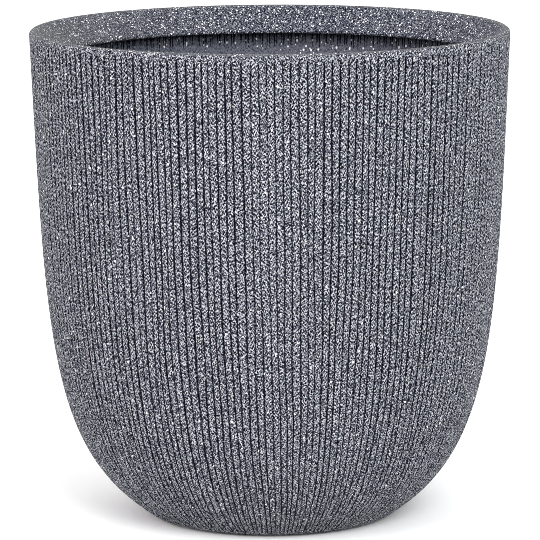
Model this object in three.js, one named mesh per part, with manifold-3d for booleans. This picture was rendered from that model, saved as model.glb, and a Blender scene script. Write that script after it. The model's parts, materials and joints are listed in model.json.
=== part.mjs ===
// A tall round planter in stone-effect plastic: a moulded shell with combed ribs and a turned-in rim,
// rubber drain plugs in its recessed bottom, and rubber pads under its foot ring.
// Millimetres and degrees, +Z up. The origin is on the ground, under the middle of the base.
import * as THREE from "three";
import { mergeVertices } from "three/addons/utils/BufferGeometryUtils.js";
import Module from "manifold-3d";

const wasm = await Module();
wasm.setup();

// Clearance between two pieces that seat in or on each other, and how far a cutter runs past a face it opens
const FIT = 0.3;
const CUT_PAST = 1;

// Shell: the side is one cubic curve from the foot ring to the rim, and its two reaches are the lengths
// of the curve's handles, so a longer reach gives a fuller heel or a straighter side
const RIM_RADIUS = 250;
const BASE_RADIUS = 131.5;
const SHELL_HEIGHT = 510;
const WALL = 5;
const HEEL_SLOPE = 33.3;
const HEEL_REACH = 125;
const SIDE_TAPER = 2.35;
const SIDE_REACH = 320;

// Foot: a flat ring round a recessed bottom panel that the drains go through
const FOOT_ROUND = 6;
const FOOT_RING = 38;
const RECESS_DEPTH = 5;
const RECESS_DRAFT = 3;
const FLOOR = 6;
const FLOOR_ROUND = 14;

// Rim: the wall turns at a small round crest and comes down inside as a bevelled flange with a round edge.
// Between the two is a pocket that opens downwards.
const CREST_ROUND = 4.5;
const POCKET_ROUND = 3;
const BEVEL_SLOPE = 43.4;
const LIP_DROP = 29;

// Ribs: combed by hand, so they ripple, lean together in one place and vary in depth
const RIBS = 192;
const RIB_DEPTH = 2;
const RIB_RUNOUT = 5;
const RIPPLE = 0.22;
const RIPPLE_WAVES = 9;
const LEAN = 2.7;
const LEAN_AT = -94;
const LEAN_FOCUS = 30;
const LEAN_GROWTH = 1.35;
const DEPTH_WAVES = 31;
const DEPTH_SHARE = 0.3;

// Drains and their plugs
const DRAINS = 4;
const DRAIN_CIRCLE = 50;
const DRAIN_RADIUS = 8;
const PLUG_DRAFT = 0.8;
const PLUG_REACH = 2;
const PLUG_HEAD = 5;
const PLUG_HEAD_THICK = 3;
const PLUG_ROUND = 1;
const TAB_WIDTH = 14;
const TAB_HEIGHT = 11;
const TAB_THICK = 4;

// Pads under the foot ring
const PADS = 4;
const PAD_RADIUS = 12;
const PAD_THICK = 5;
const PAD_STAND = 3;
const PAD_ROUND = 1;

// Facets: how many sides and steps the round surfaces are drawn with
const RIM_SIDES = 96;
const INSIDE_SIDES = 64;
const SMALL_SIDES = 20;
const SIDE_STEPS = 7;
const BEND_SAMPLES = 400;
const ROUND_STEPS = 3;
const TAB_STEPS = 8;

// Levels and radii that follow from the sizes above
const rad = THREE.MathUtils.degToRad;
const base = PAD_STAND;
const top = base + SHELL_HEIGHT;
const panel = base + RECESS_DEPTH;
const floor = panel + FLOOR;
const flatRadius = BASE_RADIUS - FOOT_ROUND * Math.sin(rad(HEEL_SLOPE));
const recessRadius = flatRadius - FOOT_RING;

const point = (r, z) => new THREE.Vector2(r, z);

// An arc's points, its first and last included, by angles in degrees from outward, turning towards up
function arc(centre, radius, from, to, steps) {
  return Array.from({ length: steps + 1 }, (_, i) => {
    const turn = rad(from + ((to - from) * i) / steps);
    return point(centre.x + radius * Math.cos(turn), centre.y + radius * Math.sin(turn));
  });
}

// The side's curve, the crest's centre that it runs up to, and the steps that its rings stand at
const crest = point(RIM_RADIUS - CREST_ROUND * Math.cos(rad(SIDE_TAPER)), top - CREST_ROUND);
const sideEnd = point(RIM_RADIUS, crest.y - CREST_ROUND * Math.sin(rad(SIDE_TAPER)));
const sideStart = point(BASE_RADIUS, base + FOOT_ROUND * (1 - Math.cos(rad(HEEL_SLOPE))));
const heelHandle = point(Math.cos(rad(HEEL_SLOPE)), Math.sin(rad(HEEL_SLOPE))).multiplyScalar(HEEL_REACH);
const rimHandle = point(Math.sin(rad(SIDE_TAPER)), Math.cos(rad(SIDE_TAPER))).multiplyScalar(SIDE_REACH);
const side = new THREE.CubicBezierCurve(
  sideStart,
  sideStart.clone().add(heelHandle),
  sideEnd.clone().sub(rimHandle),
  sideEnd,
);

// Steps on the side that share out its bend, so that every chord between two rings stands off it alike. A
// short stretch counts for the root of its length times the angle that it turns.
function bendSteps(from, to, count) {
  const fine = Array.from({ length: BEND_SAMPLES + 1 }, (_, i) => from + ((to - from) * i) / BEND_SAMPLES);
  const bend = [0];
  for (let i = 1; i <= BEND_SAMPLES; i++) {
    const length = side.getPoint(fine[i]).distanceTo(side.getPoint(fine[i - 1]));
    const turn = side.getTangent(fine[i]).angleTo(side.getTangent(fine[i - 1]));
    bend.push(bend[i - 1] + Math.sqrt(length * turn));
  }
  const inner = Array.from({ length: count - 1 }, (_, k) => {
    const wanted = (bend[BEND_SAMPLES] * (k + 1)) / count;
    return fine[bend.findIndex((sum) => sum >= wanted)];
  });
  return [from, ...inner, to];
}

// Near its ends a cubic curve runs three handles' lengths per unit, which gives the ribs' run-out steps
const ribStart = RIB_RUNOUT / (3 * HEEL_REACH);
const ribEnd = 1 - RIB_RUNOUT / (3 * SIDE_REACH);
const sideSteps = [0, ...bendSteps(ribStart, ribEnd, SIDE_STEPS), 1];

// A point set in from the side's outer surface, square to it
function inFromSide(t, depth) {
  const along = side.getTangent(t);
  return side.getPoint(t).add(point(-along.y, along.x).multiplyScalar(depth));
}

// How deep the ribs are at a step, before their own variation: none at both ends, and less where they
// draw together towards the base
function ribDepth(t) {
  const ends = t < ribStart / 2 || t > (1 + ribEnd) / 2;
  return ends ? 0 : (RIB_DEPTH * side.getPoint(t).x) / RIM_RADIUS;
}

// A rib's angle at a step: the even pitch, with a ripple, and a lean that grows towards the base
function ribAngle(share, t) {
  const even = 2 * Math.PI * share;
  const ripple = rad(RIPPLE) * Math.sin(RIPPLE_WAVES * even + 2 * Math.PI * t);
  const focus = ((1 + Math.cos(even - rad(LEAN_AT))) / 2) ** LEAN_FOCUS;
  return even + ripple + rad(LEAN) * focus * (1 - t) ** LEAN_GROWTH;
}

// One ring of the ribbed side: crests on the curve and grooves set in from it, in turn
function ribbedRing(t) {
  return Array.from({ length: 2 * RIBS }, (_, i) => {
    const share = i / (2 * RIBS);
    const uneven = 1 - DEPTH_SHARE * (0.5 + 0.5 * Math.sin(2 * Math.PI * (DEPTH_WAVES * share + t)));
    const at = inFromSide(t, i % 2 ? ribDepth(t) * uneven : 0);
    const angle = ribAngle(share, t);
    return [at.x * Math.cos(angle), at.x * Math.sin(angle), at.y];
  });
}

// One plain ring at a point of the profile, or a single point where the profile meets the axis
function plainRing(at, sides) {
  if (at.x === 0) return [[0, 0, at.y]];
  return Array.from({ length: sides }, (_, i) => {
    const angle = (2 * Math.PI * i) / sides;
    return [at.x * Math.cos(angle), at.x * Math.sin(angle), at.y];
  });
}

// A closed solid through rings of any counts, from one pole to the other. Between two rings the next
// triangle always goes on along the ring that is behind, so the counts need not match.
function ringSolid(rings) {
  const positions = rings.flat(2);
  const index = [];
  let lower = 0;
  for (let k = 1; k < rings.length; k++) {
    const [a, b] = [rings[k - 1].length, rings[k].length];
    const upper = lower + a;
    let [i, j] = [0, 0];
    while ((a > 1 && i < a) || (b > 1 && j < b)) {
      const alongLower = b === 1 || (a > 1 && i < a && (i + 1) * b <= (j + 1) * a);
      if (alongLower) {
        index.push(lower + i, lower + ((i + 1) % a), upper + (j % b));
        i++;
      } else {
        index.push(lower + (i % a), upper + ((j + 1) % b), upper + j);
        j++;
      }
    }
    lower = upper;
  }
  const geometry = new THREE.BufferGeometry();
  geometry.setAttribute("position", new THREE.Float32BufferAttribute(positions, 3));
  geometry.setIndex(index);
  return geometry;
}

// A three.js geometry as a manifold solid, and back
function solid(geometry) {
  const bare = geometry.clone();
  bare.deleteAttribute("normal");
  bare.deleteAttribute("uv");
  const merged = mergeVertices(bare, 1e-4);
  return new wasm.Manifold(
    new wasm.Mesh({
      numProp: 3,
      vertProperties: merged.attributes.position.array,
      triVerts: new Uint32Array(merged.index.array),
    }),
  );
}

function geometryOf(manifold) {
  const mesh = manifold.getMesh();
  const geometry = new THREE.BufferGeometry();
  geometry.setAttribute("position", new THREE.BufferAttribute(mesh.vertProperties, 3));
  geometry.setIndex(new THREE.BufferAttribute(mesh.triVerts, 1));
  return geometry.toNonIndexed();
}

// A profile from axis to axis, spun about Z
function spun(profile, sides) {
  return new THREE.LatheGeometry(profile, sides).rotateX(Math.PI / 2);
}

// The places of a pattern of equal pieces on a circle, the first one at half a pitch from +X
function onCircle(count, radius) {
  return Array.from({ length: count }, (_, i) => {
    const angle = (2 * Math.PI * (i + 0.5)) / count;
    return { angle, x: radius * Math.cos(angle), y: radius * Math.sin(angle) };
  });
}

const drainPlaces = onCircle(DRAINS, DRAIN_CIRCLE);
const padPlaces = onCircle(PADS, flatRadius - FOOT_RING / 2);

// A round cutter from one level to another
function cutter(place, radius, from, to) {
  const geometry = new THREE.CylinderGeometry(radius, radius, to - from, SMALL_SIDES);
  geometry.rotateX(Math.PI / 2).translate(place.x, place.y, (from + to) / 2);
  return solid(geometry);
}

// The underside's profile, from the axis out to the side's first ring
function undersideProfile() {
  const round = arc(point(flatRadius, base + FOOT_ROUND), FOOT_ROUND, -90, HEEL_SLOPE - 90, ROUND_STEPS - 1);
  return [
    point(0, panel),
    point(recessRadius - RECESS_DRAFT, panel),
    point(recessRadius, base),
    ...round.slice(0, -1),
  ];
}

// The rim's outer profile, from the side's last ring over the crest and down the bevel to the lip's edge
function rimProfile() {
  const up = arc(crest, CREST_ROUND, -SIDE_TAPER, 90, ROUND_STEPS);
  const over = arc(crest, CREST_ROUND, 90, 90 + BEVEL_SLOPE, ROUND_STEPS - 1);
  const down = point(-Math.cos(rad(BEVEL_SLOPE)), -Math.sin(rad(BEVEL_SLOPE)));
  const middle = CREST_ROUND - WALL / 2;
  const bevelTop = point(crest.x + middle * down.y, crest.y - middle * down.x);
  const length = (bevelTop.y - (top - LIP_DROP + WALL / 2)) / -down.y;
  const edge = bevelTop.add(down.multiplyScalar(length));
  const lip = arc(edge, WALL / 2, 90 + BEVEL_SLOPE, 270 + BEVEL_SLOPE, ROUND_STEPS);
  return [...up.slice(1), ...over.slice(1), ...lip];
}

// The centre of the pocket's round, which leaves the wall's thickness under the bevel and inside the grooves
function pocketCentre() {
  const outward = point(Math.cos(rad(SIDE_TAPER)), -Math.sin(rad(SIDE_TAPER)));
  const upward = point(-Math.sin(rad(BEVEL_SLOPE)), Math.cos(rad(BEVEL_SLOPE)));
  const underBevel = WALL + POCKET_ROUND - CREST_ROUND;
  const underSide = underBevel + RIB_DEPTH;
  const opening = outward.cross(upward);
  return point(
    crest.x + (underBevel * outward.y - underSide * upward.y) / opening,
    crest.y + (underSide * upward.x - underBevel * outward.x) / opening,
  );
}

// The inner profile, from the pocket under the rim down the wall and in along the floor to the axis
function insideProfile() {
  const centre = pocketCentre();
  const pocket = arc(centre, POCKET_ROUND, 90 + BEVEL_SLOPE, -SIDE_TAPER, ROUND_STEPS - 1);
  const inner = sideSteps.map((t) => inFromSide(t, WALL + ribDepth(t))).reverse();
  const wall = inner.filter((p) => p.y < centre.y - POCKET_ROUND);
  const last = wall.findIndex((p) => p.y < floor + FLOOR_ROUND / 2);
  const [above, below] = [wall[last - 1], wall[last]];
  const share = (above.y - floor) / (above.y - below.y);
  const corner = above.clone().lerp(below, share);
  const cornerStart = corner.clone().add(above.clone().sub(corner).setLength(FLOOR_ROUND));
  const round = new THREE.QuadraticBezierCurve(cornerStart, corner, point(corner.x - FLOOR_ROUND, floor));
  return [...pocket, ...wall.slice(0, last), ...round.getPoints(ROUND_STEPS), point(0, floor)];
}

function shellSolid() {
  const rings = [
    ...undersideProfile().map((p) => plainRing(p, INSIDE_SIDES)),
    ...sideSteps.map((t) => ribbedRing(t)),
    ...rimProfile().map((p) => plainRing(p, RIM_SIDES)),
    ...insideProfile().map((p) => plainRing(p, INSIDE_SIDES)),
  ];
  let shell = solid(ringSolid(rings));
  for (const place of drainPlaces) shell = shell.subtract(cutter(place, DRAIN_RADIUS, base, floor + CUT_PAST));
  const seat = base + PAD_THICK - PAD_STAND + FIT;
  for (const place of padPlaces) shell = shell.subtract(cutter(place, PAD_RADIUS + FIT, base - CUT_PAST, seat));
  return shell;
}

// A plug, standing on the floor over its drain: a drafted stem, a round head and a solid tab to pull it by
function plugSolid() {
  const seat = floor + FIT;
  const head = DRAIN_RADIUS + PLUG_HEAD;
  const stem = DRAIN_RADIUS - FIT;
  const end = panel - PLUG_REACH;
  const crown = seat + PLUG_HEAD_THICK;
  const profile = [
    point(0, end),
    point(stem - PLUG_DRAFT - PLUG_ROUND, end),
    point(stem - PLUG_DRAFT, end + PLUG_ROUND),
    point(stem, seat),
    point(head, seat),
    point(head, crown - PLUG_ROUND),
    point(head - PLUG_ROUND, crown),
    point(0, crown),
  ];
  const half = TAB_WIDTH / 2;
  const outline = new THREE.Shape();
  outline.moveTo(-half, -PLUG_HEAD_THICK / 2);
  outline.lineTo(half, -PLUG_HEAD_THICK / 2);
  outline.lineTo(half, TAB_HEIGHT - half);
  outline.absarc(0, TAB_HEIGHT - half, half, 0, Math.PI, false);
  const flat = { depth: TAB_THICK, bevelEnabled: false, curveSegments: TAB_STEPS };
  const tab = new THREE.ExtrudeGeometry(outline, flat);
  tab.translate(0, 0, -TAB_THICK / 2).rotateX(Math.PI / 2).translate(0, 0, crown);
  return solid(spun(profile, SMALL_SIDES)).add(solid(tab));
}

// A pad, standing on the ground with its upper part in its seat
function padSolid() {
  const profile = [
    point(0, 0),
    point(PAD_RADIUS - PAD_ROUND, 0),
    point(PAD_RADIUS, PAD_ROUND),
    point(PAD_RADIUS, PAD_THICK),
    point(0, PAD_THICK),
  ];
  return solid(spun(profile, SMALL_SIDES));
}

const planter = new THREE.Group();

function addPiece(name, geometry, material, place = { x: 0, y: 0, angle: 0 }) {
  const mesh = new THREE.Mesh(geometry, material);
  mesh.name = name;
  mesh.position.set(place.x, place.y, 0);
  mesh.rotation.z = place.angle;
  planter.add(mesh);
}

const stone = { color: 0x70757d, roughness: 0.8, metalness: 0 };
const rubber = { color: 0x1d1e20, roughness: 0.7, metalness: 0 };

addPiece("planter_shell", geometryOf(shellSolid()), new THREE.MeshStandardMaterial(stone));
drainPlaces.forEach((place, i) => {
  addPiece(`drain_plug_${i + 1}`, geometryOf(plugSolid()), new THREE.MeshStandardMaterial(rubber), place);
});
padPlaces.forEach((place, i) => {
  addPiece(`floor_pad_${i + 1}`, geometryOf(padSolid()), new THREE.MeshStandardMaterial(rubber), place);
});

export default planter;
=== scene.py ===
"""A ribbed round planter in granite-effect plastic, dressed around its packed construction.

The shell is one closed moulding worked out with numpy: an underside, a combed and ribbed side, a rounded
rim with a bevelled flange, and an inside that shows the ribs faintly. Drain plugs and floor pads are rubber
mouldings of their own. All lengths are metres and +Z is up.
"""

from __future__ import annotations

import json
import logging
import math
import sys
from dataclasses import dataclass, field
from enum import Enum

import bpy
import numpy as np
from mathutils import Euler, Matrix, Vector

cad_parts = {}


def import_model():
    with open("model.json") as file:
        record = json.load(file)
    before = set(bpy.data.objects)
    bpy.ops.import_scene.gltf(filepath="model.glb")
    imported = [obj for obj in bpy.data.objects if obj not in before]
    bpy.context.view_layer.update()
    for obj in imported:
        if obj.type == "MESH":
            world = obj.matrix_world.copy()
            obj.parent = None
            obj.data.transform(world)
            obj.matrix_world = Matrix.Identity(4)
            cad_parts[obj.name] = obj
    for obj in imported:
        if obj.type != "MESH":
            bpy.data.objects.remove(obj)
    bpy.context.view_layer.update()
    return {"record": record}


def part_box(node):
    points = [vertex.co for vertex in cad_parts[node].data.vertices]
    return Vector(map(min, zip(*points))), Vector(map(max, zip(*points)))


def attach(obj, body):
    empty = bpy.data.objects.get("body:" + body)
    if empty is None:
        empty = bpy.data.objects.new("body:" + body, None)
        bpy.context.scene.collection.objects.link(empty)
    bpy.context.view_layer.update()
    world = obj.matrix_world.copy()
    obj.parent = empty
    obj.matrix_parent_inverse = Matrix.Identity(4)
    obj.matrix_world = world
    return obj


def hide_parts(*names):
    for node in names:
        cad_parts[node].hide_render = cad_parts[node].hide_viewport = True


LOG = logging.getLogger("planter")
MM = 0.001

Array = np.ndarray
Pair = tuple[float, float]
Piece = bpy.types.Object
Socket = bpy.types.NodeSocket
Inputs = dict[str | int, object]

# the stone's cast: how far its red, green and blue stand off grey, as display tones
BLUE_CAST = (-0.018, -0.010, 0.024)
# a grain's width over its height
GRAIN_RISE = 0.78
# the turn of the grain's lattice, in radians, which keeps its planes from lying along the wall
GRAIN_TURN = (0.6, 0.9, 0.4)
# how much the random tone of each grain counts, and how much the smooth noise between grains does
CELL_SHARE = 0.4
NOISE_SHARE = 3.3
# how far off the noise is that is taken away to space the grains evenly, and its share along each axis
GRAIN_SPACING = 2.3 * MM
SPACING_SHARES = (0.22, 0.22, 0.28)
# how many deviations of its blur a noise runs past its rows, so that its two ends don't meet
NOISE_MARGIN = 6
# the distances, in fleck sizes, at which a fleck starts to fade and has faded
FLECK_FADE = (0.75, 1.2)
DISPLAY_GAMMA = 2.2
# the casts of the tone ramp's dark and light ends and of the stops beside them, as shares of the finish's own
DARK_CAST = 2.2
DIM_CAST = 1.3
PALE_CAST = 0.75
LIGHT_CAST = 0.45
# how many degrees an edge turns before its shading breaks, on the shell and on the rubber pieces
SHELL_BREAK = 35
RUBBER_BREAK = 40
# how far a cutter runs past the face that it cuts
CUT_PAST = 5 * MM


class Zone(Enum):
    """The finishes of the shell, by the number of their material slot on its mesh."""

    SIDE = 0
    RIM = 1
    INSIDE = 2


# Mesh helpers


@dataclass
class Band:
    """A run of rings of one column count, all in one zone of the shell."""

    points: Array  # rows x columns x 3
    zone: Zone
    groove: Array | None = None  # rows x columns, 0 on crests and 1 at the bottom of a full groove; the finishes paint shade into the grooves by it
    painted_light: Array | None = None  # rows x columns, 1 along the rim's crest and rising towards 1 at the bevel's left end: where a lighter, smoother tone is painted in as painted light


def revolve(profile: Array, columns: int) -> Array:
    """Turns a profile about Z.

    Formula: the point at row i and column j is (r_i cos a_j, r_i sin a_j, z_i), with a_j = 2 pi j / columns.

    Args:
        profile: rows x 2 array of radius and height.
        columns: how many columns go round.

    Returns:
        rows x columns x 3 array of points.
    """
    angle = 2 * np.pi * np.arange(columns) / columns
    radius = profile[:, 0][:, None]
    height = np.broadcast_to(profile[:, 1][:, None], (len(profile), columns))
    return np.stack([radius * np.cos(angle), radius * np.sin(angle), height], axis=-1)


def arc(centre: Pair, radius: float, start: float, end: float, steps: int) -> Array:
    """Points of an arc in the plane of a profile.

    Formula: centre + radius (cos a, sin a), with a running evenly from start to end.

    Args:
        centre: radius and height of the arc's centre.
        radius: the arc's own radius.
        start: first angle in degrees, from outward and turning towards up.
        end: last angle in degrees.
        steps: how many steps the arc has.

    Returns:
        (steps + 1) x 2 array of radius and height.
    """
    angle = np.radians(np.linspace(start, end, steps + 1))
    return np.stack([centre[0] + radius * np.cos(angle), centre[1] + radius * np.sin(angle)], axis=-1)


def stacked_faces(first: int, rows: int, columns: int) -> list[list[int]]:
    """Quads between neighbours in a stack of rings, wound to face out when the path goes up outside.

    Args:
        first: index of the first ring's first vertex.
        rows: how many rings there are.
        columns: how many columns each ring has.

    Returns:
        four vertex indices for each quad.
    """
    lower = first + columns * np.arange(rows - 1)[:, None]
    j = np.arange(columns)
    k = (j + 1) % columns
    upper = lower + columns
    return np.stack([lower + j, lower + k, upper + k, upper + j], axis=-1).reshape(-1, 4).tolist()


def joining_faces(lower: int, n_lower: int, upper: int, n_upper: int) -> list[list[int]]:
    """Polygons between two rings where one has a whole number of times the other's columns.

    Formula: each edge of the coarse ring closes one polygon with the fine ring's edges that run beside it.

    Args:
        lower: index of the first ring's first vertex.
        n_lower: its columns.
        upper: index of the next ring's first vertex.
        n_upper: its columns.

    Returns:
        one list of vertex indices for each polygon.
    """
    few, many = sorted((n_lower, n_upper))
    faces = []
    for j in range(few):
        fine = [(many // few * j + i) % many for i in range(many // few + 1)]
        coarse = [j, (j + 1) % few]
        near, far = (fine, coarse) if n_lower >= n_upper else (coarse, fine)
        faces.append([lower + i for i in near] + [upper + i for i in reversed(far)])
    return faces


def mesh_object(name: str, vertices: Array, faces: list[list[int]]) -> Piece:
    """Makes a smooth-shaded mesh object and links it to the scene.

    Args:
        name: the piece's name.
        vertices: n x 3 array in metres.
        faces: vertex indices of each face.

    Returns:
        the new object, which sits at the origin.
    """
    mesh = bpy.data.meshes.new(name)
    mesh.from_pydata(vertices.tolist(), [], faces)
    mesh.update()
    mesh.shade_smooth()
    made = bpy.data.objects.new(name, mesh)
    bpy.context.scene.collection.objects.link(made)
    return made


def closed_lathe(name: str, profile: Array, columns: int, place: Pair) -> Piece:
    """A closed solid of revolution whose profile starts and ends on its own axis.

    Args:
        name: the piece's name.
        profile: rows x 2 array of radius and height, with radius 0 at both ends, going round anticlockwise.
        columns: how many columns go round.
        place: where its axis stands, in x and y.

    Returns:
        the new object.
    """
    rings = revolve(profile[1:-1], columns).reshape(-1, 3)
    poles = np.array([[0, 0, profile[0, 1]], [0, 0, profile[-1, 1]]])
    vertices = np.concatenate([rings, poles]) + np.array([place[0], place[1], 0.0])
    rows = len(profile) - 2
    faces = stacked_faces(0, rows, columns)
    bottom, top = rows * columns, rows * columns + 1
    last = (rows - 1) * columns
    for j in range(columns):
        k = (j + 1) % columns
        faces.append([bottom, k, j])
        faces.append([last + j, last + k, top])
    return mesh_object(name, vertices, faces)


def combine(piece: Piece, others: list[Piece], operation: str) -> None:
    """Joins solids to a piece or cuts them out of it, bakes the result into its mesh and removes them.

    Args:
        piece: the piece that stays.
        others: the solids.
        operation: UNION or DIFFERENCE.
    """
    for other in others:
        boolean = piece.modifiers.new("boolean", "BOOLEAN")
        boolean.operation = operation
        boolean.solver = "MANIFOLD"
        boolean.object = other
    bpy.context.view_layer.update()
    evaluated = piece.evaluated_get(bpy.context.evaluated_depsgraph_get())
    made = bpy.data.meshes.new_from_object(evaluated)
    piece.modifiers.clear()
    piece.data = made
    for other in others:
        bpy.data.objects.remove(other)


def dress(piece: Piece, material: bpy.types.Material) -> None:
    """Gives a piece one material all over, in place of the empty slots that a modifier leaves."""
    piece.data.materials.clear()
    piece.data.materials.append(material)


def sharpen(piece: Piece, degrees: float) -> None:
    """Marks edges sharper than an angle, so that smooth shading breaks there."""
    piece.data.set_sharp_from_angle(angle=math.radians(degrees))


def smooth_noise(rng: np.random.Generator, shape: tuple[int, int], across: float, along: float) -> Array:
    """A smooth random field with mean 0 and deviation 1, which closes on itself across.

    Formula: white noise times a Gaussian low pass in the frequency plane, exp(-2 pi^2 s^2 f^2) each way.

    Args:
        rng: the seeded source of randomness.
        shape: columns across, which wrap round, and rows along.
        across: the blur's deviation in columns.
        along: the blur's deviation in rows.

    Returns:
        an array of that shape.
    """
    padded = (shape[0], shape[1] + int(NOISE_MARGIN * along) + 1)
    white = np.fft.fft2(rng.standard_normal(padded))
    f_across = np.fft.fftfreq(padded[0])[:, None]
    f_along = np.fft.fftfreq(padded[1])[None, :]
    low = np.exp(-2 * np.pi**2 * ((across * f_across) ** 2 + (along * f_along) ** 2))
    made = np.real(np.fft.ifft2(white * low))[:, : shape[1]]
    return (made - made.mean()) / made.std()


def bell(angle: Array, middle: float, focus: float) -> Array:
    """A bell round the turn, 1 at its middle and narrower with focus: ((1 + cos(a - middle)) / 2) ^ focus."""
    return ((1 + np.cos(angle - middle)) / 2) ** focus


# The shell


@dataclass
class SideCurve:
    """The side's cubic curve, from the foot to under the rim, as radius and height."""

    start: Array
    end: Array
    heel_slope: float = math.radians(33.3)
    heel_reach: float = 125 * MM
    side_taper: float = math.radians(2.35)
    side_reach: float = 320 * MM

    def controls(self) -> Array:
        """The four control points: each end, and each end's handle along its own slope.

        Returns:
            4 x 2 array of radius and height.
        """
        heel = self.heel_reach * np.array([math.cos(self.heel_slope), math.sin(self.heel_slope)])
        rim = self.side_reach * np.array([math.sin(self.side_taper), math.cos(self.side_taper)])
        return np.stack([self.start, self.start + heel, self.end - rim, self.end])

    def points(self, t: Array) -> Array:
        """Points of the curve: the cubic Bernstein sum of its control points at t.

        Args:
            t: the curve's parameter, from 0 at the foot to 1 under the rim.

        Returns:
            array of radius and height, with one axis more than t.
        """
        a, b, c, d = self.controls()
        s, u = t[..., None], 1 - t[..., None]
        return u**3 * a + 3 * u**2 * s * b + 3 * u * s**2 * c + s**3 * d

    def inward(self, t: Array) -> Array:
        """Unit normals into the wall: the curve's direction at t, turned a quarter to the left.

        Args:
            t: the curve's parameter.

        Returns:
            array of unit vectors in radius and height, with one axis more than t.
        """
        a, b, c, d = self.controls()
        s, u = t[..., None], 1 - t[..., None]
        along = u**2 * (b - a) + 2 * u * s * (c - b) + s**2 * (d - c)
        along /= np.linalg.norm(along, axis=-1, keepdims=True)
        return np.stack([-along[..., 1], along[..., 0]], axis=-1)


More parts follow.
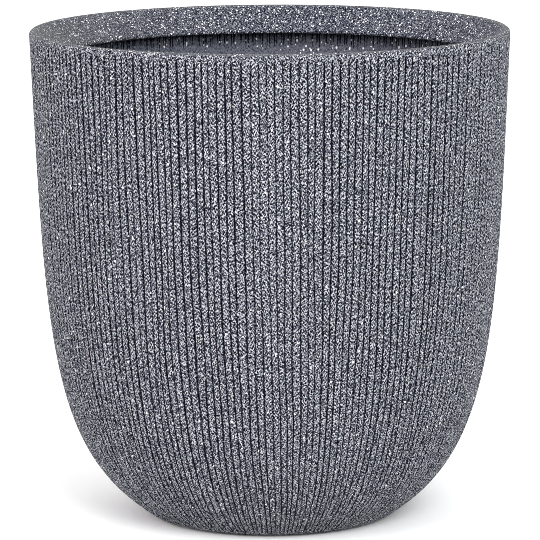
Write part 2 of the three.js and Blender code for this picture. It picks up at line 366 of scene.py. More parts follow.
@dataclass
class CombedRibs:
    """Ribs combed by hand down the side: uneven in pitch and depth, and leaning together at the front.

    Each blur is that of a smooth noise: across in ribs, and along as a share of the side's rows.
    """

    count: int = 192
    depth: float = 1.5 * MM
    crown: float = 0.30  # how far a rib's edges fall from its middle, as a share of the depth
    wander: float = 0.08  # sideways, in pitches
    waver: float = 0.06  # the same, at a shorter wave
    steady_blur: Pair = (0.6, 0.5)
    slow_blur: Pair = (1.2, 0.12)
    quick_blur: Pair = (0.5, 0.045)
    lean: float = math.radians(2.7)
    lean_at: float = math.radians(-94)
    lean_focus: float = 30
    lean_growth: float = 1.35
    crest_drop: float = 0.35 * MM
    drop_blur: Pair = (0.5, 0.2)
    # how deep a groove is cut, as shares of the full depth: the least, and what a strong cut adds
    least_cut: float = 0.70
    cut_range: float = 0.28
    cut_gain: float = 2.2  # how sharply the noise turns a shallow cut into a strong one
    cut_bias: float = 0.6  # how far the noise leans towards strong cuts
    long_cut: float = 0.8  # the weights of the long and the short noise in the cut
    short_cut: float = 0.6
    long_cut_blur: Pair = (0.5, 0.30)
    short_cut_blur: Pair = (0.4, 0.07)
    axis_depth: float = 0.35  # the share of the depth that doesn't shrink with the radius
    seed: int = 7
    # where the columns of a rib stand, from one groove to the next, as shares of the rib's width
    stations: tuple[float, ...] = (0.0, 0.09, 0.20, 0.5, 0.80, 0.91)
    groove_width: float = 0.10
    # the shallow stretch in front: where it is, how narrow, and how much depth it takes away
    faint_at: float = math.radians(-91)
    faint_focus: float = 260
    faint: float = 0.26
    faint_growth: float = 1.6  # how fast it comes in, per unit of the side curve's parameter
    # the stretch on the left whose grooves are cut wider and so take wider painted shade, standing for the
    # stronger shading of the ribs there: where it is, how narrow, and how much wider its grooves are
    wide_groove_shade_at: float = math.radians(-158)
    wide_groove_shade_focus: float = 9
    wide_groove_shade: float = 0.2

    def columns(self) -> int:
        """How many columns go round."""
        return self.count * len(self.stations)

    def noise(self, rng: np.random.Generator, rows: int, blur: Pair) -> Array:
        """Smooth noise over the grooves and rows, from its blur across and along."""
        return smooth_noise(rng, (self.count, rows), blur[0], rows * blur[1])

    def grooves(self, t: Array) -> tuple[Array, Array, Array]:
        """Where each groove runs, how deep it is and how low the rib beside it lies.

        Formula: a groove's angle is its even share of the turn, plus slow and quick smooth noise in pitches,
        plus a lean that is a bell about the front and grows down the side. Its depth is a share of the full
        depth that smooth noise drives between a shallow and a full cut, less a bell about the shallow part.

        Args:
            t: the side curve's parameter at each row.

        Returns:
            angles, depth shares and crest drops, each count x rows.
        """
        rng = np.random.default_rng(self.seed)
        rows = len(t)
        pitch = 2 * np.pi / self.count
        even = (pitch * (np.arange(self.count) + 0.5))[:, None]
        steady = self.noise(rng, rows, self.steady_blur)
        slow = self.noise(rng, rows, self.slow_blur)
        quick = self.noise(rng, rows, self.quick_blur)
        leaning = bell(even, self.lean_at, self.lean_focus)
        angle = even + pitch * (self.wander * (steady + slow) + self.waver * quick)
        angle = angle + self.lean * leaning * ((1 - t) ** self.lean_growth)[None, :]
        cut = self.noise(rng, rows, self.long_cut_blur) * self.long_cut
        cut = cut + self.noise(rng, rows, self.short_cut_blur) * self.short_cut
        share = self.least_cut + self.cut_range / (1 + np.exp(-self.cut_gain * (cut + self.cut_bias)))
        shallow = bell(even, self.faint_at, self.faint_focus)
        share = share * (1 - self.faint * shallow * np.clip(self.faint_growth * t, 0, 1)[None, :])
        drop = np.abs(self.noise(rng, rows, self.drop_blur)) * self.crest_drop
        return angle, share, drop

    def surface(self, curve: SideCurve, t: Array, ends: Array, full: float) -> Band:
        """The ribbed side as a band.

        Formula: between two grooves a column stands at a fixed share s of the rib's width. It is set in from
        the curve, square to it, by the near groove's depth times exp(-(s / w)^2), where w is the groove's
        width, plus the rib's own drop and a slight crown. A bell about the stretch on the left widens the
        grooves there, in the mesh and in the mask by which the finishes paint shade.

        Args:
            curve: the side's curve.
            t: its parameter at each row.
            ends: the ribs' share of their height at each row, 0 where they have run out.
            full: the widest radius, at which the ribs have their full depth.

        Returns:
            the band, with its groove mask, by which the finishes paint shade.
        """
        angle, share, drop = self.grooves(t)
        following = np.concatenate([angle[1:], angle[:1] + 2 * np.pi])
        s = np.array(self.stations)[None, :, None]
        turn = angle[:, None, :] * (1 - s) + following[:, None, :] * s
        # the stretch on the left: wider grooves in the mesh and wider painted shade in the colour
        widened = bell(angle.mean(axis=1), self.wide_groove_shade_at, self.wide_groove_shade_focus)
        width = (self.groove_width * (1 + self.wide_groove_shade * widened))[:, None, None]
        left = share[:, None, :] * np.exp(-((s / width) ** 2))
        right = np.roll(share, -1, axis=0)[:, None, :] * np.exp(-(((1 - s) / width) ** 2))
        groove = np.maximum(left, right)
        crown = self.crown * (2 * s - 1) ** 2
        at = curve.points(t)
        inward = curve.inward(t)
        scale = self.depth * ends * (self.axis_depth + (1 - self.axis_depth) * at[:, 0] / full)
        inset = scale * (groove + crown) + ends * drop[:, None, :]
        radius = at[:, 0] + inward[:, 0] * inset
        height = at[:, 1] + inward[:, 1] * inset
        points = np.stack([radius * np.cos(turn), radius * np.sin(turn), height], axis=-1)
        points = points.reshape(self.columns(), len(t), 3).transpose(1, 0, 2)
        # the groove mask, by which the finishes paint shade into the grooves
        mask = (groove * ends).reshape(self.columns(), len(t)).T
        return Band(points, Zone.SIDE, mask)


@dataclass
class PlanterShell:
    """The one-piece moulding, before its drains and pad seats are cut."""

    low: Array
    high: Array
    wall: float = 5 * MM
    rib_room: float = 2.3 * MM  # what the wall is thicker by for the ribs
    base_radius: float = 131.5 * MM
    foot_round: float = 6 * MM
    foot_ring: float = 38 * MM
    recess_depth: float = 5 * MM
    recess_draft: float = 3 * MM
    recess_round: float = 2 * MM
    recess_slope: float = 25  # the angle, in degrees, at which the rounds pass into the recess's side
    panel_rings: tuple[float, ...] = (12 * MM, 30 * MM, 50 * MM, 70 * MM)
    floor_rings: tuple[float, ...] = (80 * MM, 60 * MM, 40 * MM, 20 * MM)
    floor: float = 6 * MM
    floor_round: float = 14 * MM
    pocket_round: float = 3 * MM
    crest_round: float = 4.5 * MM
    bevel_slope: float = 43.4  # in degrees
    bevel_rows: tuple[float, ...] = (0.02, 0.25, 0.5, 0.75, 0.98)  # as shares of the bevel's width
    lip_drop: float = 29 * MM
    rib_runout: float = 5 * MM
    foot_runout: float = 0.5  # the ribs' share of their height halfway through each run-out
    crest_runout: float = 0.6
    shoulder: float = 38.0  # how far up the crest's round the grain of the side runs, in degrees
    left_painted_light: float = 1.0  # how much of the crest's painted light the bevel has at its left end: that side painted lighter
    left_painted_light_focus: float = 6
    line_depth: float = 0.5 * MM
    line_strength: Pair = (0.5, 1.0)  # the least and most of each rib's first line
    second_strength: Pair = (0.4, 0.8)
    reach_spread: Pair = (0.8, 1.1)
    line_reach: float = 20 * MM  # how far below the lip the lines on the inside run out
    second_lines: float = 0.75  # the share of ribs that show as two lines on the inside
    # the inner wall's rows, and the side curve's parameter where the lined part ends and the plain one starts
    lined_rows: int = 14
    lined_to: float = 0.93
    plain_rows: int = 17
    plain_from: float = 0.91
    rows: int = 54
    rim_columns: int = 288
    line_columns: int = 1152
    under_columns: int = 192
    ribs: CombedRibs = field(default_factory=CombedRibs)

    def __post_init__(self) -> None:
        """Works out the levels that the other sizes give."""
        self.rim_radius = float(min(self.high[0], self.high[1]))
        self.base = float(self.low[2])
        self.top = float(self.high[2])
        self.curve = self.side_curve()
        self.flat_radius = self.base_radius - self.foot_round * math.sin(self.curve.heel_slope)
        self.panel = self.base + self.recess_depth
        self.floor_level = self.panel + self.floor

    def side_curve(self) -> SideCurve:
        """Works out the centre of the crest's round, and the side's curve up to it from the foot's round.

        Returns:
            the side's curve.
        """
        taper, slope = SideCurve.side_taper, SideCurve.heel_slope
        self.crest = (self.rim_radius - self.crest_round * math.cos(taper), self.top - self.crest_round)
        start = np.array([self.base_radius, self.base + self.foot_round * (1 - math.cos(slope))])
        end = np.array([self.rim_radius, self.crest[1] - self.crest_round * math.sin(taper)])
        return SideCurve(start, end)

    def underside(self) -> Band:
        """The recessed panel, the flat foot ring and the foot's round, from near the axis outwards.

        Returns:
            the band.
        """
        recess = self.flat_radius - self.foot_ring
        corner, slope = self.recess_round, self.recess_slope
        inner = arc((recess - self.recess_draft - corner, self.panel - corner), corner, 90, slope, 3)
        outer = arc((recess + corner, self.base + corner), corner, 180 + slope, 270, 3)
        heel = math.degrees(self.curve.heel_slope)
        foot = arc((self.flat_radius, self.base + self.foot_round), self.foot_round, -90, heel - 90, 5)[:-1]
        panel = np.array([[r, self.panel] for r in self.panel_rings])
        ring = np.array([[(recess + self.flat_radius) / 2, self.base]])
        profile = np.concatenate([panel, inner, outer, ring, foot])
        return Band(revolve(profile, self.under_columns), Zone.SIDE)

    def ribbed_side(self) -> Band:
        """The combed side, whose ribs run out just above the foot and just under the crest.

        Returns:
            the band, with its groove mask.
        """
        first = self.rib_runout / (3 * self.curve.heel_reach)
        last = 1 - self.rib_runout / (3 * self.curve.side_reach)
        t = np.concatenate([[0, first / 2], np.linspace(first, last, self.rows - 4), [(1 + last) / 2, 1]])
        ends = np.ones(self.rows)
        ends[[0, 1, -2, -1]] = 0, self.foot_runout, self.crest_runout, 0
        return self.ribs.surface(self.curve, t, ends, self.rim_radius)

    def shoulder_band(self) -> Band:
        """The start of the crest's round, which the side's coarse grain still covers.

        Returns:
            the band.
        """
        taper = math.degrees(self.curve.side_taper)
        round_part = arc(self.crest, self.crest_round, -taper, self.shoulder, 3)[1:]
        return Band(revolve(round_part, self.rim_columns), Zone.SIDE)

    def rim(self) -> Band:
        """The crest's round, the bevel down inside and the flange's round edge.

        Returns:
            the band, with its painted light mask.
        """
        slope = math.radians(self.bevel_slope)
        over = arc(self.crest, self.crest_round, self.shoulder, 90 + self.bevel_slope, 9)[1:]
        middle = self.crest_round - self.wall / 2
        start = np.array([self.crest[0] - middle * math.sin(slope), self.crest[1] + middle * math.cos(slope)])
        down = np.array([-math.cos(slope), -math.sin(slope)])
        length = (start[1] - (self.top - self.lip_drop + self.wall / 2)) / math.sin(slope)
        edge = start + down * length
        lip = arc((edge[0], edge[1]), self.wall / 2, 90 + self.bevel_slope, 270 + self.bevel_slope, 8)
        bevel = over[-1] + (lip[0] - over[-1]) * np.array(self.bevel_rows)[:, None]
        profile = np.concatenate([over, bevel, lip])
        angle = 2 * np.pi * np.arange(self.rim_columns) / self.rim_columns
        # painted light: the crest's round takes it in full, and the bevel fades into it towards its left end
        lit_share = self.left_painted_light * ((1 - np.cos(angle)) / 2) ** self.left_painted_light_focus
        painted_light = np.tile(lit_share, (len(profile), 1))
        painted_light[: len(over)] = 1.0
        return Band(revolve(profile, self.rim_columns), Zone.RIM, painted_light=painted_light)

    def pocket_centre(self) -> Pair:
        """The centre of the pocket's round.

        Formula: it is set in from the crest's centre until it lies the wall's thickness and its own radius
        under the bevel, and as far and the ribs' room in from the side. Both are distances along the two
        faces' normals.

        Returns:
            its radius and height.
        """
        outward = np.array([math.cos(self.curve.side_taper), -math.sin(self.curve.side_taper)])
        slope = math.radians(self.bevel_slope)
        upward = np.array([-math.sin(slope), math.cos(slope)])
        under_bevel = self.wall + self.pocket_round - self.crest_round
        under_side = under_bevel + self.rib_room
        inset = np.linalg.solve(np.stack([outward, upward]), [-under_side, -under_bevel])
        return (self.crest[0] + float(inset[0]), self.crest[1] + float(inset[1]))

    def inner_lines(self, heights: Array) -> Array:
        """How strongly the ribs show through on the inside, as thin upright lines under the lip: sunk a
        little into the mesh, and darkened in the colour as painted shade under the lip.

        Formula: each rib shows as one column of the mesh with a random strength, and some as a weaker second
        one two columns on. A line's strength falls with the square of the distance under the lip, over its
        own reach.

        Args:
            heights: the height of each row.

        Returns:
            rows x columns array from 0 to 1.
        """
        rng = np.random.default_rng(self.ribs.seed + 1)
        strength = np.zeros((self.ribs.count, self.line_columns // self.ribs.count))
        strength[:, 0] = rng.uniform(*self.line_strength, self.ribs.count)
        second = rng.uniform(*self.second_strength, self.ribs.count)
        strength[:, 2] = second * (rng.random(self.ribs.count) < self.second_lines)
        reach = self.line_reach * rng.uniform(*self.reach_spread, self.line_columns)
        below_lip = (self.top - self.lip_drop - heights)[:, None] / reach
        return strength.ravel() * np.clip(1 - below_lip**2, 0, 1)

    def inside(self) -> list[Band]:
        """The pocket under the rim, the lined top of the inner wall, then the rest of the wall and the floor.

        Formula: the wall is the side's curve set in by the wall's thickness and the ribs' room. The lines are
        sunk into it by their strength times their depth. The round to the floor is a quadratic Bernstein sum.

        Returns:
            the three bands, from the rim down.
        """
        taper = math.degrees(self.curve.side_taper)
        centre = self.pocket_centre()
        pocket = arc(centre, self.pocket_round, 90 + self.bevel_slope, -taper, 5)
        lined = self.inner_wall(np.linspace(1, self.lined_to, self.lined_rows))
        lined = lined[lined[:, 1] < centre[1] - self.pocket_round]
        wall = self.inner_wall(np.linspace(self.plain_from, 0, self.plain_rows))
        last = int(np.argmax(wall[:, 1] < self.floor_level + self.floor_round / 2))
        above, below = wall[last - 1], wall[last]
        share = (above[1] - self.floor_level) / (above[1] - below[1])
        corner = above + (below - above) * share
        start = corner + (above - corner) / np.linalg.norm(above - corner) * self.floor_round
        end = np.array([corner[0] - self.floor_round, self.floor_level])
        u = np.linspace(0, 1, 6)[:, None]
        turn = (1 - u) ** 2 * start + 2 * u * (1 - u) * corner + u**2 * end
        floor = np.array([[r, self.floor_level] for r in self.floor_rings])
        lower = revolve(np.concatenate([wall[:last], turn, floor]), self.rim_columns)
        # the lines: sunk into the mesh below, and kept as the mask by which the inside's finish paints shade
        # along them
        lines = self.inner_lines(lined[:, 1])
        upper = revolve(lined, self.line_columns)
        upper[:, :, :2] *= 1 + (self.line_depth * lines / lined[:, :1])[:, :, None]
        under_rim = Band(revolve(pocket, self.rim_columns), Zone.INSIDE)
        return [under_rim, Band(upper, Zone.INSIDE, lines), Band(lower, Zone.INSIDE)]

    def inner_wall(self, t: Array) -> Array:
        """Points of the inner wall's profile: the side's curve at t, set in square to it."""
        return self.curve.points(t) + self.curve.inward(t) * (self.wall + self.rib_room)

    def build(self) -> Piece:
        """Joins the bands into one closed mesh, from the panel's middle to the floor's middle.

        Returns:
            the new object, with a zone for each face and the masks for each point.
        """
        bands = [self.underside(), self.ribbed_side(), self.shoulder_band(), self.rim(), *self.inside()]
        vertices, faces, zones = [], [], []
        masks = {"groove": [], "painted_light": []}
        first, previous = 0, None
        for band in bands:
            rows, columns = band.points.shape[:2]
            if previous is not None:
                joined = joining_faces(previous[0], previous[1], first, columns)
                faces += joined
                zones += [band.zone.value] * len(joined)
            faces += stacked_faces(first, rows, columns)
            zones += [band.zone.value] * ((rows - 1) * columns)
            vertices.append(band.points.reshape(-1, 3))
            for name, values in masks.items():
                given = getattr(band, name)
                values.append(np.zeros(rows * columns) if given is None else given.ravel())
            previous = (first + (rows - 1) * columns, columns)
            first += rows * columns
        bottom, middle = first, first + 1
        vertices.append(np.array([[0, 0, self.panel], [0, 0, self.floor_level]]))
        n = self.under_columns
        faces += [[bottom, (j + 1) % n, j] for j in range(n)]
        n, start = previous[1], previous[0]
        faces += [[start + j, start + (j + 1) % n, middle] for j in range(n)]
        zones += [Zone.SIDE.value] * self.under_columns + [Zone.INSIDE.value] * n
        made = mesh_object("shell_moulding", np.concatenate(vertices), faces)
        made.data.polygons.foreach_set("material_index", np.array(zones, np.int32))
        for name, values in masks.items():
            mask = made.data.attributes.new(name, "FLOAT", "POINT")
            mask.data.foreach_set("value", np.concatenate([*values, np.zeros(2)]).astype(np.float32))
        return made


# The rubber pieces


@dataclass
class RubberPiece:
    """A rubber moulding on an upright axis, in the place of one construction node."""

    node: str
    low: Array
    high: Array
    fit: float = 0.3 * MM
    columns: int = 64

    def centre(self) -> Pair:
        """Where the piece's axis stands."""
        return (float(self.low[0] + self.high[0]) / 2, float(self.low[1] + self.high[1]) / 2)

    def hole(self, radius: float, low: float, high: float) -> Piece:
        """A plain round solid on the piece's axis, to cut the shell with."""
        profile = np.array([[0, low], [radius, low], [radius, high], [0, high]])
        return closed_lathe("cutter", profile, self.columns, self.centre())


@dataclass
class DrainPlug(RubberPiece):
    """A rubber bung over one drain: a drafted stem, a round head with a raised bead, and a tab to pull."""

    drain_radius: float = 8 * MM
    head_radius: float = 13 * MM
    head_thick: float = 3 * MM
    reach: float = 8 * MM
    draft: float = 0.8 * MM
    edge: float = 1.0 * MM
    small_edge: float = 0.5 * MM
    flare: Pair = (0.3 * MM, 0.6 * MM)  # how far in and down the stem's flare starts
    bead: float = 3.2 * MM  # how wide the raised bead round the head is, to the middle of its inner round
    dish_edge: float = 4.2 * MM  # how far in the head's dished middle starts
    dish: float = 0.6 * MM
    tab_width: float = 14 * MM
    tab_thick: float = 4 * MM
    tab_root: float = 0.9 * MM  # how far under the head's top the tab starts
    grip: float = 0.10  # how deep the grip's ridges are, as a share of the tab's thickness
    grip_pitch: float = 1.6 * MM
    tab_squareness: float = 0.35  # the power of the tab's section: 1 is an ellipse and 0 a box
    tab_taper: float = 2.2  # how late the tab thins towards its top
    tab_rows: int = 28
    tab_columns: int = 40

    def body(self) -> Piece:
        """The stem and the head, turned about the plug's axis, with every edge rounded.

        Returns:
            the new object.
        """
        end = float(self.low[2])
        seat = end + self.reach + self.fit
        crown = seat + self.head_thick
        stem = self.drain_radius - self.fit
        edge, small, head = self.edge, self.small_edge, self.head_radius
        profile = np.concatenate(
            [
                [[0, end]],
                arc((stem - self.draft - edge, end + edge), edge, -90, 0, 4),
                [[stem - self.flare[0], seat - self.flare[1]], [stem, seat]],
                arc((head - small, seat + small), small, -90, 0, 3),
                arc((head - edge, crown - edge), edge, 0, 90, 5),
                arc((head - self.bead, crown - small), small, 90, 180, 3),
                [[head - self.dish_edge, crown - self.dish], [0, crown - self.dish]],
            ]
        )
        return closed_lathe(self.node + "_bung", profile, self.columns, self.centre())

    def tab(self, angle: float) -> Piece:
        """The pull tab, an upright rounded slab with grip ridges across both faces.

        Formula: the outline's half width is w up to the shoulder and follows a half circle above it. The
        thickness is a rounded slab with a small ripple along its height.

        Args:
            angle: which way the tab's width points.

        Returns:
            the new object.
        """
        end = float(self.low[2])
        foot = end + self.reach + self.fit + self.head_thick - self.tab_root
        top = float(self.high[2])
        half = self.tab_width / 2
        v = np.linspace(0, 1, self.tab_rows)
        height = foot + (top - foot) * np.sin(v * np.pi / 2)
        shoulder = top - half
        above = np.clip((height - shoulder) / half, 0, 1)
        width = half * np.sqrt(np.clip(1 - above**2, 0, 1))
        ripple = 1 - self.grip * (0.5 + 0.5 * np.cos((height - foot) / self.grip_pitch * 2 * np.pi))
        thick = self.tab_thick / 2 * ripple * np.clip(width / half * self.tab_taper, 0, 1) ** 0.5
        u = 2 * np.pi * np.arange(self.tab_columns) / self.tab_columns
        x = np.sign(np.cos(u)) * np.abs(np.cos(u)) ** self.tab_squareness
        y = np.sign(np.sin(u)) * np.abs(np.sin(u)) ** self.tab_squareness
        z = np.broadcast_to(height[:, None], (len(v), len(u)))
        rings = np.stack([width[:, None] * x, thick[:, None] * y, z], axis=-1)[:-1]
        across, along = math.cos(angle), math.sin(angle)
        turn = np.array([[across, along, 0], [-along, across, 0], [0, 0, 1]])
        cap = np.array([[0, 0, top]])
        base = np.array([[0, 0, foot]])
        place = np.array([*self.centre(), 0.0])
        vertices = np.concatenate([rings.reshape(-1, 3), base, cap]) @ turn + place
        n, rows = len(u), len(rings)
        faces = stacked_faces(0, rows, n)
        faces += [[rows * n, (j + 1) % n, j] for j in range(n)]
        faces += [[(rows - 1) * n + j, (rows - 1) * n + (j + 1) % n, rows * n + 1] for j in range(n)]
        return mesh_object(self.node + "_tab", vertices, faces)

    def build(self) -> Piece:
        """Joins the tab to the body as one closed rubber piece.

        Returns:
            the new object.
        """
        body = self.body()
        x, y = self.centre()
        combine(body, [self.tab(math.atan2(y, x))], "UNION")
        body.data.shade_smooth()
        sharpen(body, RUBBER_BREAK)
        return body

    def cutter(self, low: float, high: float) -> Piece:
        """The drain itself, as a solid to cut the shell with."""
        return self.hole(self.drain_radius, low, high)


@dataclass
class FloorPad(RubberPiece):
    """A round rubber pad glued in a seat under the foot ring."""

    radius: float = 12 * MM
    edge: float = 1.2 * MM
    upper_edge: float = 0.4 * MM
    groove: float = 0.25 * MM  # how deep the rings in the face that it stands on are
    grooves: int = 4
    face_rows: int = 26

    def build(self) -> Piece:
        """The pad, with a rounded lower edge and shallow rings in the face that it stands on.

        Formula: the face lies groove (1 - cos a) / 2 above its lowest, and a makes a turn for each ring.

        Returns:
            the new object.
        """
        low, high = float(self.low[2]), float(self.high[2])
        edge, upper_edge = self.edge, self.upper_edge
        r = np.linspace(0, self.radius - edge, self.face_rows)
        wave = 0.5 - 0.5 * np.cos(r / (self.radius - edge) * (2 * self.grooves) * np.pi)
        rings = low + self.groove * wave
        face = np.stack([r, rings], axis=-1)
        side = arc((self.radius - edge, low + edge), edge, -90, 0, 5)
        upper = arc((self.radius - upper_edge, high - upper_edge), upper_edge, 0, 90, 3)
        profile = np.concatenate([face, side[1:], upper, [[0, high]]])
        made = closed_lathe(self.node + "_rubber", profile, self.columns, self.centre())
        sharpen(made, RUBBER_BREAK)
        return made

    def cutter(self, low: float) -> Piece:
        """The pad's seat, as a solid to cut the shell with."""
        return self.hole(self.radius + self.fit, low, float(self.high[2]) + self.fit)


# Materials


class Nodes:
    """A thin writer for a node tree."""

    def __init__(self, tree: bpy.types.NodeTree) -> None:
        """Keeps the tree that nodes are added to."""
        self.tree = tree

    def add(self, kind: str, inputs: Inputs | None = None, **values: object) -> bpy.types.Node:
        """Adds a node.

        Args:
            kind: the node's type name.
            inputs: what its inputs get, by name or number.
            values: attributes of the node, which are set first.

        Returns:
            the new node.
        """
        node = self.tree.nodes.new(kind)
        for name, value in values.items():
            setattr(node, name, value)
        self.fill(node, inputs or {})
        return node

    def link(self, source: Socket, target: Socket) -> None:
        """Joins an output to an input."""
        self.tree.links.new(source, target)

    def fill(self, node: bpy.types.Node, inputs: Inputs) -> None:
        """Gives a node's inputs their values: a socket is linked, and anything else is set.

        Args:
            node: the node.
            inputs: what its inputs get, by name or number.
        """
        for name, value in inputs.items():
            if isinstance(value, Socket):
                self.link(value, node.inputs[name])
            else:
                node.inputs[name].default_value = value

    def math(self, operation: str, a: object, b: object, clamp: bool = False) -> Socket:
        """A math node's output for two inputs."""
        return self.add("ShaderNodeMath", {0: a, 1: b}, operation=operation, use_clamp=clamp).outputs[0]

    def mix(self, factor: object, a: object, b: object) -> Socket:
        """A colour between two, by the sockets that come after those for numbers and vectors."""
        return self.add("ShaderNodeMix", {"Factor": factor, 6: a, 7: b}, data_type="RGBA").outputs[2]

    def remap(self, value: object, low: float, high: float, to_low: float, to_high: float) -> Socket:
        """A value moved smoothly from one range to another and held inside it."""
        inputs = {"Value": value, "From Min": low, "From Max": high, "To Min": to_low, "To Max": to_high}
        return self.add("ShaderNodeMapRange", inputs, interpolation_type="SMOOTHSTEP").outputs["Result"]

    def noise(self, where: Socket, scale: object, detail: float = 2.0) -> Socket:
        """The value of a noise texture."""
        inputs = {"Vector": where, "Scale": scale, "Detail": detail}
        return self.add("ShaderNodeTexNoise", inputs).outputs["Fac"]

    def cells(self, where: Socket, scale: Socket) -> tuple[bpy.types.Node, Socket]:
        """Fills space with cells round scattered points.

        Args:
            where: the place.
            scale: how many cells there are to a metre, about.

        Returns:
            a node that puts out three random values for each cell, and the distance to the cell's point.
        """
        node = self.add("ShaderNodeTexVoronoi", {"Vector": where, "Scale": scale}, feature="F1")
        drawn = self.add("ShaderNodeSeparateColor", {0: node.outputs["Color"]})
        return drawn, node.outputs["Distance"]

    def bump(self, shader: bpy.types.Node, height: Socket, strength: float, distance: float) -> None:
        """Bumps a shader's normal by a height, which stands for a distance in metres."""
        node = self.add("ShaderNodeBump", {"Strength": strength, "Distance": distance, "Height": height})
        self.link(node.outputs["Normal"], shader.inputs["Normal"])


def new_material(name: str) -> tuple[bpy.types.Material, Nodes, bpy.types.Node]:
    """Makes a material.

    Args:
        name: its name.

    Returns:
        the material, a writer for its nodes, and its shader.
    """
    made = bpy.data.materials.new(name)
    made.use_nodes = True
    return made, Nodes(made.node_tree), made.node_tree.nodes["Principled BSDF"]


def stone_colour(tone: float, cast: float) -> tuple[float, float, float, float]:
    """The linear colour of a display tone from 0 to 1, a little short of red and long of blue by its cast."""
    red, green, blue = (max(tone + cast * shift, 0.0) ** DISPLAY_GAMMA for shift in BLUE_CAST)
    return (red, green, blue, 1.0)


def grain_noise(nodes: Nodes, where: Socket, scale: Socket) -> Socket:
    """Smooth noise about 0, whose waves are a grain wide."""
    noise = nodes.noise(where, scale, 0.0)
    return nodes.math("MULTIPLY", nodes.math("SUBTRACT", noise, 0.5), NOISE_SHARE)


def stone_grain_group() -> bpy.types.NodeTree:
    """The granite effect, shared by every part of the shell.

    Formula: space is filled with grains, the cells round scattered points, and each takes a random tone.
    Smooth noise of a grain's width is added, less a share of the same noise a short step off along each
    axis, which spaces the grains evenly. A second, wider set of cells puts a round pale fleck in a share
    of its cells.

    Returns:
        the node group, with Grain Scale, Contrast, Fleck Scale, Fleck Share and Fleck Size inputs and Tone,
        Fleck and Height outputs. Tone is 0.5 at the stone's middle tone and isn't held to a range.
    """
    group = bpy.data.node_groups.new("stone_grain", "ShaderNodeTree")
    for name in ("Grain Scale", "Contrast", "Fleck Scale", "Fleck Share", "Fleck Size"):
        group.interface.new_socket(name, in_out="INPUT", socket_type="NodeSocketFloat")
    for name in ("Tone", "Fleck", "Height"):
        group.interface.new_socket(name, in_out="OUTPUT", socket_type="NodeSocketFloat")
    nodes = Nodes(group)
    given = nodes.add("NodeGroupInput")
    result = nodes.add("NodeGroupOutput")
    where = nodes.add("ShaderNodeMapping", {"Scale": (1.0, 1.0, GRAIN_RISE), "Rotation": GRAIN_TURN})
    nodes.link(nodes.add("ShaderNodeTexCoord").outputs["Object"], where.inputs["Vector"])
    drawn, _ = nodes.cells(where.outputs[0], given.outputs["Grain Scale"])
    cell = nodes.math("MULTIPLY", nodes.math("SUBTRACT", drawn.outputs[0], 0.5), CELL_SHARE)
    both = nodes.math("ADD", cell, grain_noise(nodes, where.outputs[0], given.outputs["Grain Scale"]))
    turn = Euler(GRAIN_TURN).to_matrix()
    for axis, share in enumerate(SPACING_SHARES):
        step = Vector((0.0, 0.0, 0.0))
        step[axis] = GRAIN_SPACING
        step.z *= GRAIN_RISE
        moved = nodes.add("ShaderNodeVectorMath", {0: where.outputs[0], 1: turn @ step}, operation="ADD")
        beside = grain_noise(nodes, moved.outputs[0], given.outputs["Grain Scale"])
        both = nodes.math("SUBTRACT", both, nodes.math("MULTIPLY", beside, share))
    swing = nodes.math("MULTIPLY", both, given.outputs["Contrast"])
    nodes.link(nodes.math("ADD", swing, 0.5), result.inputs["Tone"])
    chance, distance = nodes.cells(where.outputs[0], given.outputs["Fleck Scale"])
    chosen = nodes.math("LESS_THAN", chance.outputs[1], given.outputs["Fleck Share"])
    size = nodes.math("MULTIPLY", nodes.math("ADD", chance.outputs[2], 0.5), given.outputs["Fleck Size"])
    near = nodes.math("DIVIDE", distance, size)
    fading = nodes.remap(near, *FLECK_FADE, 1.0, 0.0)
    nodes.link(nodes.math("MULTIPLY", chosen, fading), result.inputs["Fleck"])
    nodes.link(nodes.math("ADD", both, 0.5), result.inputs["Height"])
    return group


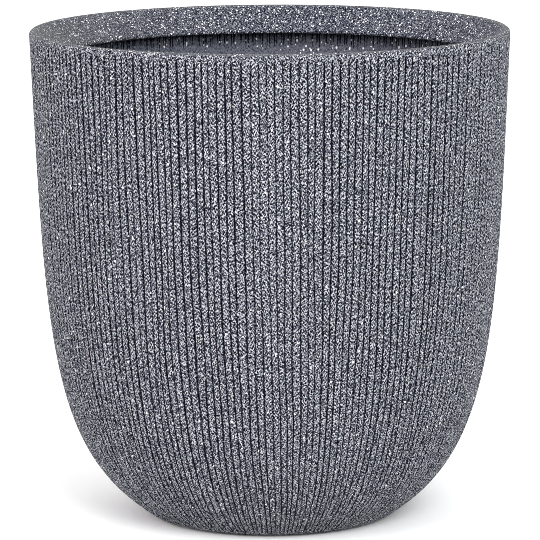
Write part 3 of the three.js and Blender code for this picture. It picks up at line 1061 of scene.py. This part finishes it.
@dataclass(frozen=True)
class StoneFinish:
    """One zone's version of the granite effect."""

    name: str
    dark: float  # display tones of the ramp's ends and middle
    middle: float
    light: float
    grain_scale: float
    contrast: float
    fleck_scale: float
    fleck_share: float
    fleck_size: float
    cast: float  # how blue the stone is, as a share of BLUE_CAST
    bump: float
    fleck_tone: float = 0.93
    fleck_cast: float = 0.2
    groove_shade: float = 0.0  # how far a full groove moves the tone down the ramp: painted shade in the grooves
    groove_from: float = 0.05
    groove_full: float = 0.80
    # the painted light: its tone, its cast, and its share where the mask is full
    painted_light_tone: float = 0.42
    painted_light_cast: float = -0.1
    painted_light_share: float = 0.32
    roughness: float = 0.8
    specular: float = 0.05
    bump_height: float = 0.6 * MM

    def material(self, grain: bpy.types.NodeTree) -> bpy.types.Material:
        """Builds the material.

        Args:
            grain: the shared granite group.

        Returns:
            the material.
        """
        made, nodes, shader = new_material(self.name)
        inputs = {
            "Grain Scale": self.grain_scale,
            "Contrast": self.contrast,
            "Fleck Scale": self.fleck_scale,
            "Fleck Share": self.fleck_share,
            "Fleck Size": self.fleck_size,
        }
        speck = nodes.add("ShaderNodeGroup", inputs, node_tree=grain)
        ramp = nodes.add("ShaderNodeValToRGB")
        stops = ramp.color_ramp.elements
        stops[0].color = stone_colour(self.dark, DARK_CAST * self.cast)
        stops[-1].color = stone_colour(self.light, LIGHT_CAST * self.cast)
        stops.new(0.5).color = stone_colour(self.middle, self.cast)
        for at, end, more in ((0.25, self.dark, DIM_CAST), (0.75, self.light, PALE_CAST)):
            stops.new(at).color = stone_colour((self.middle + end) / 2, more * self.cast)
        # painted shade: the groove mask moves the tone down the ramp
        groove = nodes.add("ShaderNodeAttribute", attribute_name="groove").outputs["Fac"]
        shade = nodes.remap(groove, self.groove_from, self.groove_full, 0.0, self.groove_shade)
        nodes.link(nodes.math("SUBTRACT", speck.outputs["Tone"], shade, clamp=True), ramp.inputs["Fac"])
        # flecks are kept out of the painted groove shade
        crests = nodes.math("SUBTRACT", 1.0, groove, clamp=True)
        fleck = nodes.math("MULTIPLY", speck.outputs["Fleck"], crests)
        colour = nodes.mix(fleck, ramp.outputs["Color"], stone_colour(self.fleck_tone, self.fleck_cast))
        # painted light: a lighter, smoother tone mixed in by its mask
        painted_light = nodes.add("ShaderNodeAttribute", attribute_name="painted_light").outputs["Fac"]
        lit_share = nodes.math("MULTIPLY", painted_light, self.painted_light_share)
        colour = nodes.mix(lit_share, colour, stone_colour(self.painted_light_tone, self.painted_light_cast))
        nodes.link(colour, shader.inputs["Base Color"])
        nodes.fill(shader, {"Roughness": self.roughness, "Specular IOR Level": self.specular})
        nodes.bump(shader, speck.outputs["Height"], self.bump, self.bump_height)
        return made


@dataclass(frozen=True)
class RubberFinish:
    """Matt black rubber with a fine moulded grain and a dusty bloom."""

    name: str
    tone: float  # display tones of the rubber and of its bloom
    bloom: float
    roughness: float
    cast: float = 0.1
    bloom_scale: float = 120.0
    bloom_detail: float = 5.0
    bloom_range: Pair = (0.45, 0.75)
    bloom_roughness: float = 0.2  # what the bloom adds to the roughness
    grain_scale: float = 1500.0
    bump: float = 0.25
    bump_height: float = 0.1 * MM

    def material(self) -> bpy.types.Material:
        """Builds the material.

        Returns:
            the material.
        """
        made, nodes, shader = new_material(self.name)
        where = nodes.add("ShaderNodeTexCoord").outputs["Object"]
        cloud = nodes.noise(where, self.bloom_scale, self.bloom_detail)
        dust = nodes.remap(cloud, *self.bloom_range, 0.0, 1.0)
        colour = nodes.mix(dust, stone_colour(self.tone, self.cast), stone_colour(self.bloom, 0.0))
        rough = nodes.remap(dust, 0.0, 1.0, self.roughness, self.roughness + self.bloom_roughness)
        nodes.fill(shader, {"Base Color": colour, "Roughness": rough})
        nodes.bump(shader, nodes.noise(where, self.grain_scale), self.bump, self.bump_height)
        return made


SIDE_STONE = StoneFinish(
    name="combed_granite",
    dark=0.0,
    middle=0.320,
    light=0.645,
    grain_scale=900.0,
    contrast=0.72,
    cast=0.95,
    fleck_scale=420.0,
    fleck_share=0.03,
    fleck_size=0.30,
    groove_shade=0.68,
    bump=0.3,
)
RIM_STONE = StoneFinish(
    name="smooth_granite",
    dark=0.06,
    middle=0.27,
    light=0.54,
    grain_scale=800.0,
    contrast=0.64,
    fleck_scale=420.0,
    fleck_share=0.4,
    fleck_size=0.28,
    cast=1.15,
    bump=0.3,
    roughness=0.7,
)
# the same stone inside, with a lighter middle tone that is painted light on the inner wall; its groove shade
# paints shade along the lines under the lip
INSIDE_STONE = StoneFinish(
    name="inner_granite",
    dark=0.0,
    middle=0.38,
    light=0.55,
    grain_scale=700.0,
    contrast=0.20,
    fleck_scale=300.0,
    fleck_share=0.4,
    fleck_size=0.25,
    cast=1.15,
    groove_shade=0.48,
    groove_full=0.5,
    bump=0.15,
    roughness=0.75,
)
PLUG_RUBBER = RubberFinish("plug_rubber", 0.13, 0.26, 0.55)
PAD_RUBBER = RubberFinish("pad_rubber", 0.17, 0.32, 0.65)


# The studio


# each lamp's name, place, power in watts and colour
LAMPS = (
    ("key", (1.1, -3.1, 2.1), 120.0, (0.965, 1.0, 1.0)),
    ("fill", (-2.5, -2.2, 1.8), 60.0, (1.0, 0.93, 0.95)),
)


@dataclass
class Studio:
    """A pale floor, soft light all round and the camera at the photograph's angle."""

    distance: float = 4.0
    eye_height: float = 0.934
    pitch: float = 9.599  # how far the camera looks down, in degrees
    roll: float = -0.309  # in degrees
    lens: float = 257.2  # in millimetres, as the sensor's width is
    sensor: float = 36.0
    view_reach: float = 200.0
    aside: float = -0.985 * MM
    floor_half: float = 30.0
    lamp_size: float = 2.0
    lamp_aim: float = 0.25  # how high up the axis the lamps point
    floor_paint: float = 0.97
    floor_roughness: float = 0.9
    surround: float = 1.15
    filter_width: float = 0.8  # in pixels

    def camera(self) -> None:
        """The camera, pitched down and with the photograph's slight roll."""
        data = bpy.data.cameras.new("camera")
        data.lens = self.lens
        data.sensor_width = self.sensor
        data.clip_end = self.view_reach
        made = bpy.data.objects.new("camera", data)
        made.location = (self.aside, -self.distance, self.eye_height)
        level = Euler((math.radians(90 - self.pitch), 0, 0)).to_matrix()
        turned = level @ Matrix.Rotation(math.radians(self.roll), 3, "Z")
        made.rotation_euler = turned.to_euler()
        bpy.context.scene.collection.objects.link(made)
        bpy.context.scene.camera = made

    def floor(self) -> None:
        """The pale floor."""
        h = self.floor_half
        corners = np.array([[-h, -h, 0], [h, -h, 0], [h, h, 0], [-h, h, 0]])
        plane = mesh_object("floor", corners, [[0, 1, 2, 3]])
        paint, _, shader = new_material("pale_floor")
        shader.inputs["Base Color"].default_value = (self.floor_paint,) * 3 + (1.0,)
        shader.inputs["Roughness"].default_value = self.floor_roughness
        plane.data.materials.append(paint)

    def lights(self) -> None:
        """An even white surround and two large soft lamps above."""
        world = bpy.data.worlds.new("surround")
        world.use_nodes = True
        background = world.node_tree.nodes["Background"]
        background.inputs["Color"].default_value = (1.0, 1.0, 1.0, 1.0)
        background.inputs["Strength"].default_value = self.surround
        bpy.context.scene.world = world
        for name, place, power, colour in LAMPS:
            data = bpy.data.lights.new(name, "AREA")
            data.size = self.lamp_size
            data.energy = power
            data.color = colour
            lamp = bpy.data.objects.new(name, data)
            lamp.location = place
            aim = Vector((0, 0, self.lamp_aim)) - Vector(place)
            lamp.rotation_euler = aim.to_track_quat("-Z", "Y").to_euler()
            bpy.context.scene.collection.objects.link(lamp)

    def build(self) -> None:
        """Sets the stage."""
        self.floor()
        self.lights()
        self.camera()
        bpy.context.scene.view_settings.view_transform = "Standard"
        bpy.context.scene.cycles.filter_width = self.filter_width
        bpy.context.scene.cycles.denoising_prefilter = "NONE"


def node_box(node: str) -> tuple[Array, Array]:
    """A construction node's lowest and highest corners as arrays."""
    low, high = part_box(node)
    return np.array(low), np.array(high)


def mount(piece: Piece, node: str, body: str) -> None:
    """Puts a finished piece in a node's place and reports it.

    Args:
        piece: the piece.
        node: the construction node that it stands for.
        body: the body that it moves with.
    """
    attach(piece, body)
    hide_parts(node)
    LOG.info("%s stands for %s on %s, %d faces", piece.name, node, body, len(piece.data.polygons))


def main() -> None:
    """Builds the planter around the frame, piece by piece."""
    logging.basicConfig(level=logging.INFO, format="%(message)s", stream=sys.stdout)
    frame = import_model()
    Studio().build()
    bodies = frame["record"]["behaviour"]["bodies"]
    body_of = {node: body for body, nodes in bodies.items() for node in nodes}
    plugs = [DrainPlug(n, *node_box(n)) for n in sorted(body_of) if n.startswith("drain_plug")]
    pads = [FloorPad(n, *node_box(n)) for n in sorted(body_of) if n.startswith("floor_pad")]

    grain = stone_grain_group()
    shell = PlanterShell(*node_box("planter_shell"))
    moulding = shell.build()
    for finish in (SIDE_STONE, RIM_STONE, INSIDE_STONE):
        moulding.data.materials.append(finish.material(grain))
    below, above = shell.base - CUT_PAST, shell.floor_level + CUT_PAST
    cutters = [p.cutter(below, above) for p in plugs] + [p.cutter(below) for p in pads]
    combine(moulding, cutters, "DIFFERENCE")
    sharpen(moulding, SHELL_BREAK)
    mount(moulding, "planter_shell", body_of["planter_shell"])

    for pieces, finish, slot in ((plugs, PLUG_RUBBER, "plug_rubber"), (pads, PAD_RUBBER, "pad_rubber")):
        rubber = finish.material()
        for piece in pieces:
            made = piece.build()
            dress(made, rubber)
            mount(made, piece.node, body_of[piece.node])


if __name__ == "__main__":
    main()
